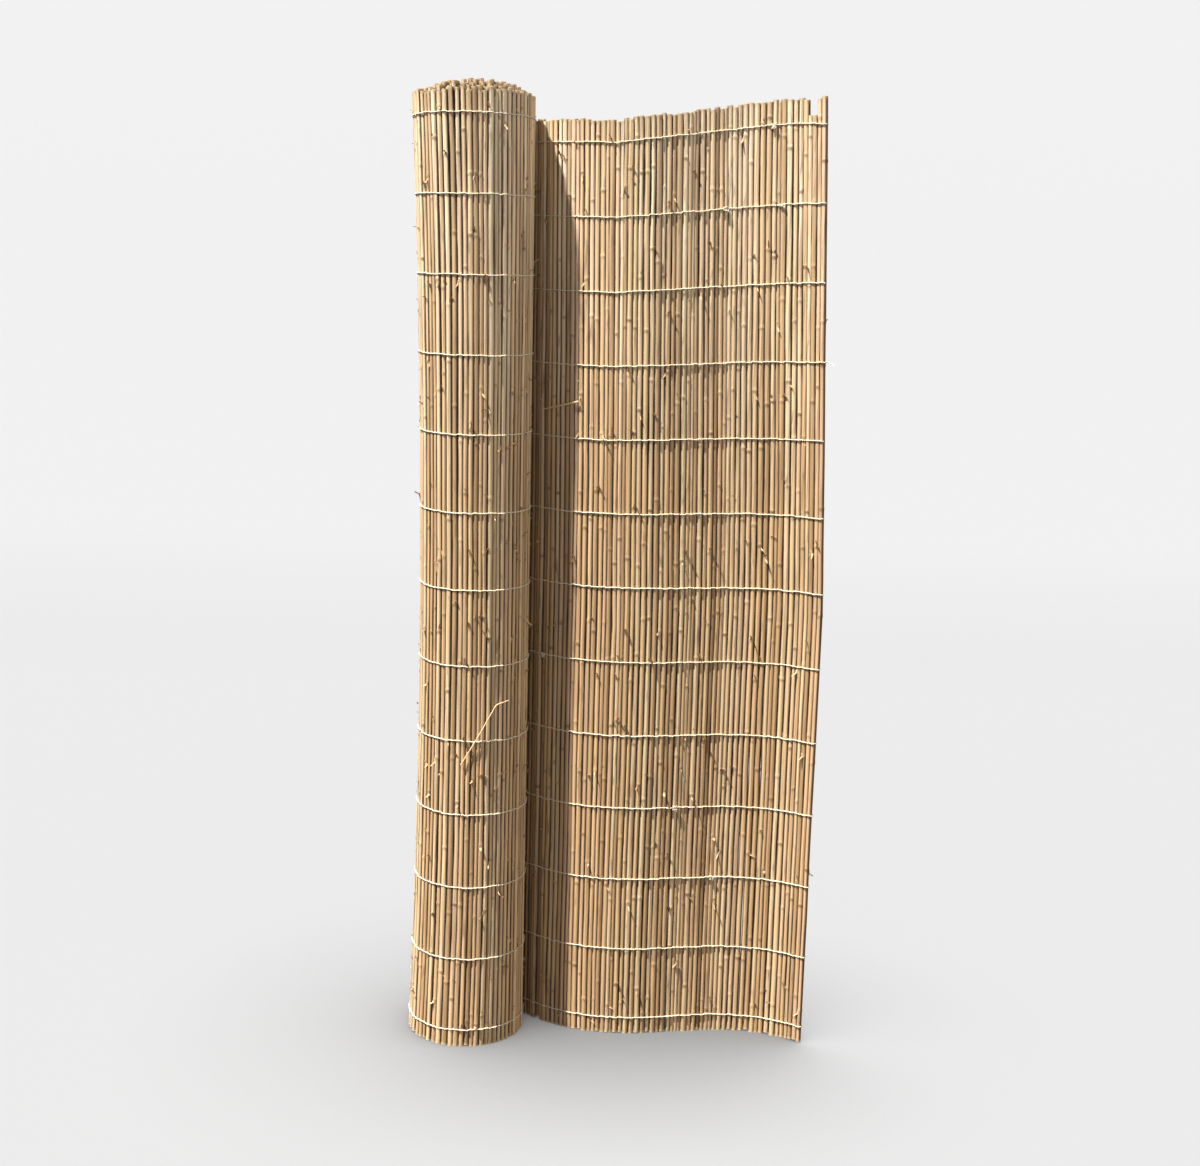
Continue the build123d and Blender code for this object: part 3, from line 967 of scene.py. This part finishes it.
def twine_finish():
    """Undyed twine: two strands twisted together, with fluff, and painted shade in the twist between them."""
    finish = Finish("Undyed twine")
    twine = fence().twine
    spin = finish.attribute("run") * (math.tau / twine.twist)
    ring = finish.attribute("round", "Vector")
    around = finish.math("ARCTAN2", finish.part(ring, 1), finish.part(ring, 0))
    strand = (around + spin).math("COSINE").math("ABSOLUTE")
    fluff = finish.noise("fluff", detail=3.0)
    # Painted shade in the groove between the two strands, with the fluff's mottle on top
    groove_shade = ((0.55 - strand) * 2.2).clamped()
    shade_and_mottle = tuple(part * 0.62 for part in twine.colour)
    base = finish.mix(groove_shade * 0.55 + (fluff - 0.4) * 0.4, twine.colour, shade_and_mottle)
    relief = finish.bump(strand + fluff * 0.5, strength=0.7, distance=0.0007)
    return finish.shade({"Base Color": base, "Roughness": 0.85 - strand * 0.1, "Normal": relief})


def floor_finish():
    """Pale floor and backdrop, which keep a soft shade of the object."""
    finish = Finish("Pale floor")
    stage = fence().stage
    seen = finish.node("ShaderNodeLightPath", None, None, "Is Camera Ray")
    glow = finish.mix((finish.part(finish.spot(), 2) * WALL_BLEND).clamped(), stage.floor, stage.wall)
    sockets = {"Distance": stage.shade_reach}
    open_sky = finish.node("ShaderNodeAmbientOcclusion", {"samples": 2}, sockets, "AO")
    glow = finish.mix(open_sky ** stage.shade_depth, BLACK, glow)
    return finish.shade({
        "Base Color": finish.mix(seen, FLOOR_LIT, FLOOR_SEEN), "Roughness": 0.9,
        "Emission Color": finish.mix(seen, BLACK, glow), "Emission Strength": 1.0})


def shared(name, make):
    """A tree or a material by name, made when it is first asked for."""
    for store in (bpy.data.node_groups, bpy.data.materials):
        if name in store:
            return store[name]
    return make()


def changed(values, changes):
    """A tree's inputs with some of them changed."""
    return values | {name.replace("_", " "): value for name, value in changes.items()}


def reed_values(material, **changes):
    """Inputs of the reed and husk trees."""
    mat, reed = fence().mat, fence().reed
    return changed({
        "Reed length": mat.reed_length + reed.tip_rise, "Joints": reed.joints,
        "Joint jitter": reed.joint_jitter, "Swell": reed.swell, "Taper": reed.taper, "Stray": reed.stray,
        "Sway": reed.sway, "Proud": reed.proud, "End length": reed.end_length,
        "Uneven tips": reed.tip_uneven, "Uneven feet": reed.foot_uneven, "Sides": reed.sides,
        "Share": reed.husk_share, "Husk length": reed.husk_length, "Husk width": reed.husk_width,
        "Both faces": 0, "Material": material,
    }, changes)


def strand_values(material, **changes):
    """Inputs of the strand tree, which without changes are those of a row of twine."""
    return changed({
        "Radius": fence().twine.radius, "Unevenness": 0.25, "Taper": 0.0, "Steps": 1, "Sides": 6,
        "Material": material,
    }, changes)


class FENCE_OT_stretch_reeds(bpy.types.Operator):
    """Makes the reeds of the unrolled stretch"""
    bl_idname = "reed_fence.stretch_reeds"
    bl_label = "Unrolled reeds"

    def execute(self, context):
        plan = MatPlan()
        values = reed_values(shared("Peeled reed", reed_finish))
        stations = station_mesh("stretch_reeds", plan, plan.stretch(), tip_loss)
        piece = grow("stretch_reeds", stations, shared("Reeds", reed_tree), values)
        hollow_ends(piece.data)
        place_piece(piece, "reed", "reed_mat")
        return {"FINISHED"}


class FENCE_OT_roll_reeds(bpy.types.Operator):
    """Makes the reeds of the roll: the outer turn in full, the inner turns plain"""
    bl_idname = "reed_fence.roll_reeds"
    bl_label = "Rolled reeds"

    def execute(self, context):
        plan = MatPlan()
        mat, reed = fence().mat, fence().reed
        finish = shared("Peeled reed", reed_finish)
        tree = shared("Reeds", reed_tree)
        turn = grow("roll_reeds", station_mesh("roll_reeds", plan, plan.turn()), tree,
                    reed_values(finish, Uneven_tips=reed.roll_uneven))
        core_values = reed_values(
            finish, Reed_length=mat.reed_length + mat.core_rise, Joints=reed.core_joints, Stray=0.0, Sway=0.0,
            Uneven_tips=reed.core_uneven, Sides=reed.core_sides)
        stations = station_mesh(
            "core_reeds", plan, plan.core(), lambda out, half: mat.core_rise * (1 - plan.inward(out)) ** 2)
        core = grow("core_reeds", stations, tree, core_values)
        for piece in (turn, core):
            hollow_ends(piece.data)
            place_piece(piece, "reed", "reed_mat")
        return {"FINISHED"}


class FENCE_OT_husks(bpy.types.Operator):
    """Scatters scraps of leaf husk over the reeds' joints"""
    bl_idname = "reed_fence.husks"
    bl_label = "Leaf husks"

    def execute(self, context):
        plan = MatPlan()
        finish = shared("Leaf husk", husk_finish)
        tree = shared("Husks", husk_tree)
        for name, stations, both in (("stretch_husks", plan.stretch(), 1), ("roll_husks", plan.turn(), 0)):
            uneven = fence().reed.tip_uneven if both else fence().reed.roll_uneven
            values = reed_values(finish, Both_faces=both, Uneven_tips=uneven)
            place_piece(grow(name, station_mesh(name, plan, stations), tree, values), "reed")
        return {"FINISHED"}


def twine_path(plan, level, seed):
    """One row of twine over each reed: round the roll, out along the back and home along the front."""
    twine = fence().twine
    draw = random.Random(seed)
    points, outs = [], []

    def over(out, half, face):
        place, back = plan.at(out)
        outward = back * face
        ahead = outward.cross(UP)
        waver = UP * (level + draw.uniform(-1, 1) * twine.waver)
        for sideways, lift in (*OVER_REED, (1, 1 - twine.seat)):
            reach = lift * girth(half) + twine.radius
            points.append(place + ahead * (sideways * half) + outward * reach + waver)
            outs.append(out)

    turn = [station for station in plan.turn() if station[0] > twine.nip - plan.outer_turn]
    for out, half in reversed(turn):
        over(out, half, 1)
    stretch = plan.stretch()
    for out, half in stretch:
        over(out, half, 1)
    last_out, last_half = stretch[-1]
    place, back = plan.at(last_out)
    for degrees in EDGE_TURNS:
        outward = Matrix.Rotation(math.radians(degrees), 3, "Z") @ back
        points.append(place + outward * (last_half + twine.radius) + UP * level)
        outs.append(last_out)
    for out, half in reversed(stretch):
        if out > twine.nip:
            over(out, half, -1)
    return points, outs


class FENCE_OT_twine(bpy.types.Operator):
    """Makes the rows of twine that bind the reeds"""
    bl_idname = "reed_fence.twine"
    bl_label = "Binding twine"

    def execute(self, context):
        plan = MatPlan()
        values = strand_values(shared("Undyed twine", twine_finish))
        for number, (node, level) in enumerate(zip(TWINE_NODES, row_heights())):
            name = node.replace("binding_twine", "twine_row")
            strand_piece(name, [twine_path(plan, level, number)], values, "twine", node)
        return {"FINISHED"}


class FENCE_OT_loose_ends(bpy.types.Operator):
    """Makes the knots of loose fibre on the twine, and its loose end at the free edge"""
    bl_idname = "reed_fence.loose_ends"
    bl_label = "Loose ends"

    def execute(self, context):
        plan = MatPlan()
        twine = fence().twine
        draw = random.Random(KNOT_SEED)
        heights = row_heights()
        lines = []
        for row, out in KNOT_SPOTS:
            place, back = plan.at(out)
            middle = place - back * (plan.pitch / 2 + twine.radius * 2) + UP * heights[row]
            ahead = back.cross(UP)
            line = []
            for _ in range(KNOT_TURNS):
                line.append(
                    middle + ahead * draw.uniform(-1, 1) * twine.knot
                    - back * draw.uniform(0, KNOT_OUT) * twine.knot
                    + UP * draw.uniform(-KNOT_DOWN, KNOT_UP) * twine.knot)
            lines.append((line, [out] * len(line)))
        place, back = plan.at(plan.free)
        start = place - back * twine.radius + UP * heights[TAIL_ROW]
        ahead = back.cross(UP)
        tail = [start + (ahead * far + UP * rise) * twine.tail for far, rise in TAIL_BENDS]
        lines.append((tail, [plan.free] * len(tail)))
        values = strand_values(
            shared("Undyed twine", twine_finish), Radius=twine.radius * FRAYED, Unevenness=0.4, Steps=4)
        strand_piece("loose_ends", lines, values, "twine")
        return {"FINISHED"}


def box_middle(node):
    """Middle of a solid's box."""
    low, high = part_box(node)
    return (Vector(low) + Vector(high)) / 2


class FENCE_OT_straws(bpy.types.Operator):
    """Makes the two stray straws: one across the roll and one on the stretch"""
    bl_idname = "reed_fence.straws"
    bl_label = "Stray straws"

    def execute(self, context):
        plan = MatPlan()
        finish = shared("Split straw", straw_finish)
        line, outs = [], []
        for degrees, height in LONG_STRAW:
            turn = math.radians(degrees) - plan.leave
            place, outward = plan.on_roll(turn)
            line.append(place + outward * LONG_STRAW_LIFT + UP * height)
            outs.append(-plan.wound(turn))
        values = strand_values(
            finish, Radius=LONG_STRAW_RADIUS, Unevenness=0.15, Taper=0.35, Steps=5, Sides=8)
        strand_piece("long_straw", [(line, outs)], values, "straw", "roll_straw")

        middle = box_middle("panel_straw")
        _, back = plan.at(SHORT_STRAW_OUT)
        level = back.cross(UP)
        reach = level * math.cos(SHORT_STRAW_SLOPE) + UP * math.sin(SHORT_STRAW_SLOPE)
        line = [middle + reach * SHORT_STRAW_HALF * way - back * SHORT_STRAW_BOW * (1 - way * way)
                for way in reversed(SHORT_STRAW_WAY)]
        values = strand_values(
            finish, Radius=SHORT_STRAW_RADIUS, Unevenness=0.2, Taper=0.55, Steps=4, Sides=8)
        strand_piece(
            "short_straw", [(line, [SHORT_STRAW_OUT] * len(line))], values, "straw", "panel_straw")
        return {"FINISHED"}


class FENCE_OT_stage(bpy.types.Operator):
    """Sets the floor and backdrop, the light and the camera"""
    bl_idname = "reed_fence.stage"
    bl_label = "Stage"

    def execute(self, context):
        scene = context.scene
        stage = fence().stage
        scene.view_settings.view_transform = "Standard"

        profile = [(FLOOR_FRONT, 0), (CURVE_START, 0)]
        for degrees in range(CURVE_STEP, 91, CURVE_STEP):
            turn = math.radians(degrees)
            profile.append((CURVE_START + CURVE_RADIUS * math.sin(turn), CURVE_RADIUS * (1 - math.cos(turn))))
        profile.append((CURVE_START + CURVE_RADIUS, WALL_TOP))
        points = [(side * FLOOR_HALF_WIDTH, depth, height) for depth, height in profile for side in (-1, 1)]
        faces = [(2 * i, 2 * i + 1, 2 * i + 3, 2 * i + 2) for i in range(len(profile) - 1)]
        mesh = bpy.data.meshes.new("backdrop")
        mesh.from_pydata(points, [], faces)
        mesh.shade_smooth()
        mesh.materials.append(shared("Pale floor", floor_finish))
        backdrop = bpy.data.objects.new("backdrop", mesh)
        scene.collection.objects.link(backdrop)

        lit = bpy.data.collections.new("lit from outside")
        for piece in scene.objects:
            if piece.type == "MESH" and piece != backdrop:
                lit.objects.link(piece)
        for name in ("key", "fill"):
            heading, height, size, strength = (
                getattr(stage, f"{name}_{part}") for part in ("heading", "height", "size", "strength"))
            sun = bpy.data.lights.new(name, "SUN")
            sun.energy = strength
            sun.angle = size
            lamp = bpy.data.objects.new(name, sun)
            level = math.cos(height)
            travel = Vector((level * math.cos(heading), level * math.sin(heading), -math.sin(height)))
            lamp.rotation_euler = travel.to_track_quat("-Z", "Y").to_euler()
            scene.collection.objects.link(lamp)
            lamp.light_linking.receiver_collection = lit

        world = bpy.data.worlds.new("soft light")
        world.use_nodes = True
        sky = world.node_tree.nodes["Background"]
        sky.inputs["Color"].default_value = (1, 1, 1, 1)
        sky.inputs["Strength"].default_value = stage.sky_strength
        scene.world = world

        lens = bpy.data.cameras.new("camera")
        lens.lens = stage.lens
        camera = bpy.data.objects.new("camera", lens)
        aim = Matrix.Rotation(math.pi / 2 - stage.pitch, 4, "X") @ Matrix.Rotation(stage.tilt, 4, "Z")
        camera.matrix_world = Matrix.Translation(ROLL_AXIS + Vector(stage.camera_place)) @ aim
        scene.collection.objects.link(camera)
        scene.camera = camera
        return {"FINISHED"}


PIECES = (FENCE_OT_stretch_reeds, FENCE_OT_roll_reeds, FENCE_OT_husks, FENCE_OT_twine,
          FENCE_OT_loose_ends, FENCE_OT_straws, FENCE_OT_stage)


class FENCE_PT_sidebar(bpy.types.Panel):
    """Lists the fence's pieces and settings"""
    bl_idname = "FENCE_PT_sidebar"
    bl_label = "Reed fence"
    bl_space_type = "VIEW_3D"
    bl_region_type = "UI"
    bl_category = "Reed fence"

    def draw(self, context):
        for piece in PIECES:
            self.layout.operator(piece.bl_idname)
        for name in ("mat", "reed", "twine", "stand", "stage"):
            group = getattr(context.scene.reed_fence, name)
            box = self.layout.box()
            for field in group.bl_rna.properties.keys():
                if field not in ("rna_type", "name"):
                    box.prop(group, field)


CLASSES = (MatSettings, ReedSettings, TwineSettings, StandSettings, StageSettings, FenceSettings,
           *PIECES, FENCE_PT_sidebar)


def register():
    for made in CLASSES:
        bpy.utils.register_class(made)
    bpy.types.Scene.reed_fence = PointerProperty(
        type=FenceSettings, name="Reed fence", description="The fence")


def unregister():
    del bpy.types.Scene.reed_fence
    for made in reversed(CLASSES):
        bpy.utils.unregister_class(made)


def main():
    register()
    bpy.ops.reed_fence.stretch_reeds()
    bpy.ops.reed_fence.roll_reeds()
    bpy.ops.reed_fence.husks()
    bpy.ops.reed_fence.twine()
    bpy.ops.reed_fence.loose_ends()
    bpy.ops.reed_fence.straws()
    bpy.ops.reed_fence.stage()


if __name__ == "__main__":
    main()
